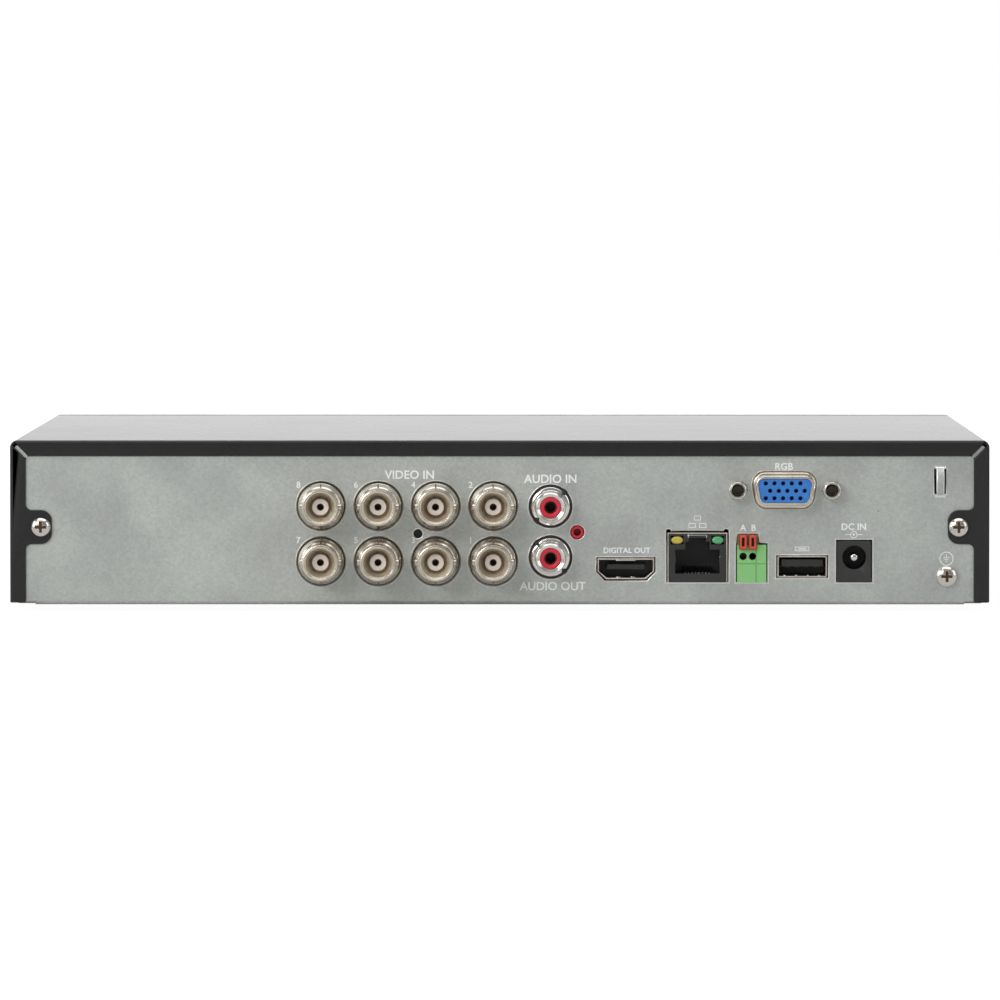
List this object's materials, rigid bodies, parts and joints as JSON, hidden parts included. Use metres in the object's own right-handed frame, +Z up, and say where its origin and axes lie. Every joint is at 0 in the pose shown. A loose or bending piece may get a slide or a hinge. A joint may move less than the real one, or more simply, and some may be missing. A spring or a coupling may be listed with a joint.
{
  "type": "video recorder",
  "caption": "Compact desktop recorder for coaxial cameras: steel case with a rear connector panel, moulded front bezel, hard drive, fan and boards inside.",
  "frame": {"origin": "on the table, under the middle of the overall length and width", "axes": "+Z up, front bezel faces -Y, connector panel faces +Y, +X is the left side as seen from behind"},
  "size_m": [0.26, 0.2468, 0.0456],
  "materials": {
    "galvanised_steel": "galvanised sheet, fine spangle",
    "black_powder_coat": "fine textured powder coat",
    "bezel_plastic": "satin moulded plastic",
    "smoked_plastic": "smoked clear plastic",
    "lamp_resin": "milky resin",
    "bright_screws": "nickel plated",
    "black_rubber": "matt",
    "standoff_brass": "turned",
    "board_green": "solder mask",
    "chip_black": "moulded",
    "aluminium": "anodised",
    "cast_aluminium": "die cast",
    "lid_steel": "stamped",
    "capacitor_sleeve": "shrunk sleeve",
    "cell_steel": "stamped",
    "black_moulding": "moulded",
    "header_white": "moulded nylon",
    "nickel": "nickel plated",
    "insulator": "pressed",
    "contact_metal": "plated",
    "phono_red": "moulded",
    "socket_blue": "moulded",
    "lens_yellow": "clear lens",
    "lens_green": "clear lens",
    "terminal_green": "moulded",
    "lever_red": "moulded",
    "disc_mirror": "polished",
    "machined_steel": "machined",
    "lead_jacket": "soft vinyl"
  },
  "bodies": {
    "case": {"analog_video_housing": "black_moulding", "analog_video_insert": "socket_blue", "analog_video_shell": "nickel", "base_tray": "galvanised_steel", "board_chips": "chip_black", "board_headers": "header_white", "board_leads": "lead_jacket", "board_screws": "bright_screws", "board_standoffs": "standoff_brass", "capacitors": "capacitor_sleeve", "coax_contacts": "contact_metal", "coax_housing": "black_moulding", "coax_insulators": "insulator", "coax_shells": "nickel", "coin_cell": "cell_steel", "coin_cell_holder": "black_moulding", "cover_screws": "bright_screws", "data_port_contacts": "contact_metal", "data_port_shells": "nickel", "data_port_tongues": "black_moulding", "digital_video_shell": "nickel", "digital_video_tongue": "black_moulding", "drive_board": "board_green", "drive_casting": "cast_aluminium", "drive_leads": "lead_jacket", "drive_lid": "lid_steel", "drive_magnets": "machined_steel", "drive_plugs": "black_moulding", "drive_screws": "bright_screws", "earth_screw": "bright_screws", "fan_frame": "black_moulding", "fan_screws": "bright_screws", "front_bezel": "bezel_plastic", "front_board": "board_green", "front_window": "smoked_plastic", "heatsink": "aluminium", "jackscrews": "bright_screws", "main_board": "board_green", "network_contacts": "contact_metal", "network_housing": "black_moulding", "network_lamp_green": "lens_green", "network_lamp_yellow": "lens_yellow", "network_shield": "nickel", "phono_contacts": "contact_metal", "phono_cores": "phono_red", "phono_housing": "phono_red", "phono_shells": "nickel", "power_jack": "black_moulding", "power_jack_pin": "nickel", "rubber_feet": "black_rubber", "status_lamps": "lamp_resin", "terminal_block": "terminal_green", "terminal_clamps": "contact_metal", "top_cover": "black_powder_coat"},
    "terminal_lever_a": {"terminal_lever_a": "lever_red"},
    "terminal_lever_b": {"terminal_lever_b": "lever_red"},
    "fan_rotor": {"fan_rotor": "black_moulding"},
    "drive_spindle": {"drive_hub": "machined_steel", "drive_platters": "disc_mirror"},
    "drive_arm": {"drive_actuator": "machined_steel"}
  },
  "joints": [
    {"name": "lever_a_push", "type": "slide", "parent": "case", "child": "terminal_lever_a", "axis": [0, -1, 0], "range_m": [0, 0.0012], "stiffness_N_per_m": 3000},
    {"name": "lever_b_push", "type": "slide", "parent": "case", "child": "terminal_lever_b", "axis": [0, -1, 0], "range_m": [0, 0.0012], "stiffness_N_per_m": 3000},
    {"name": "fan_spin", "type": "hinge", "parent": "case", "child": "fan_rotor", "pos_m": [0.1232, -0.0824, 0.0234], "axis": [1, 0, 0], "continuous": true},
    {"name": "disc_spin", "type": "hinge", "parent": "case", "child": "drive_spindle", "pos_m": [-0.0697, -0.0541, 0.0198], "axis": [0, 0, 1], "continuous": true},
    {"name": "arm_swing", "type": "hinge", "parent": "case", "child": "drive_arm", "pos_m": [-0.02383, -0.02198, 0.0198], "axis": [0, 0, 1], "range_deg": [0, 24]}
  ]
}
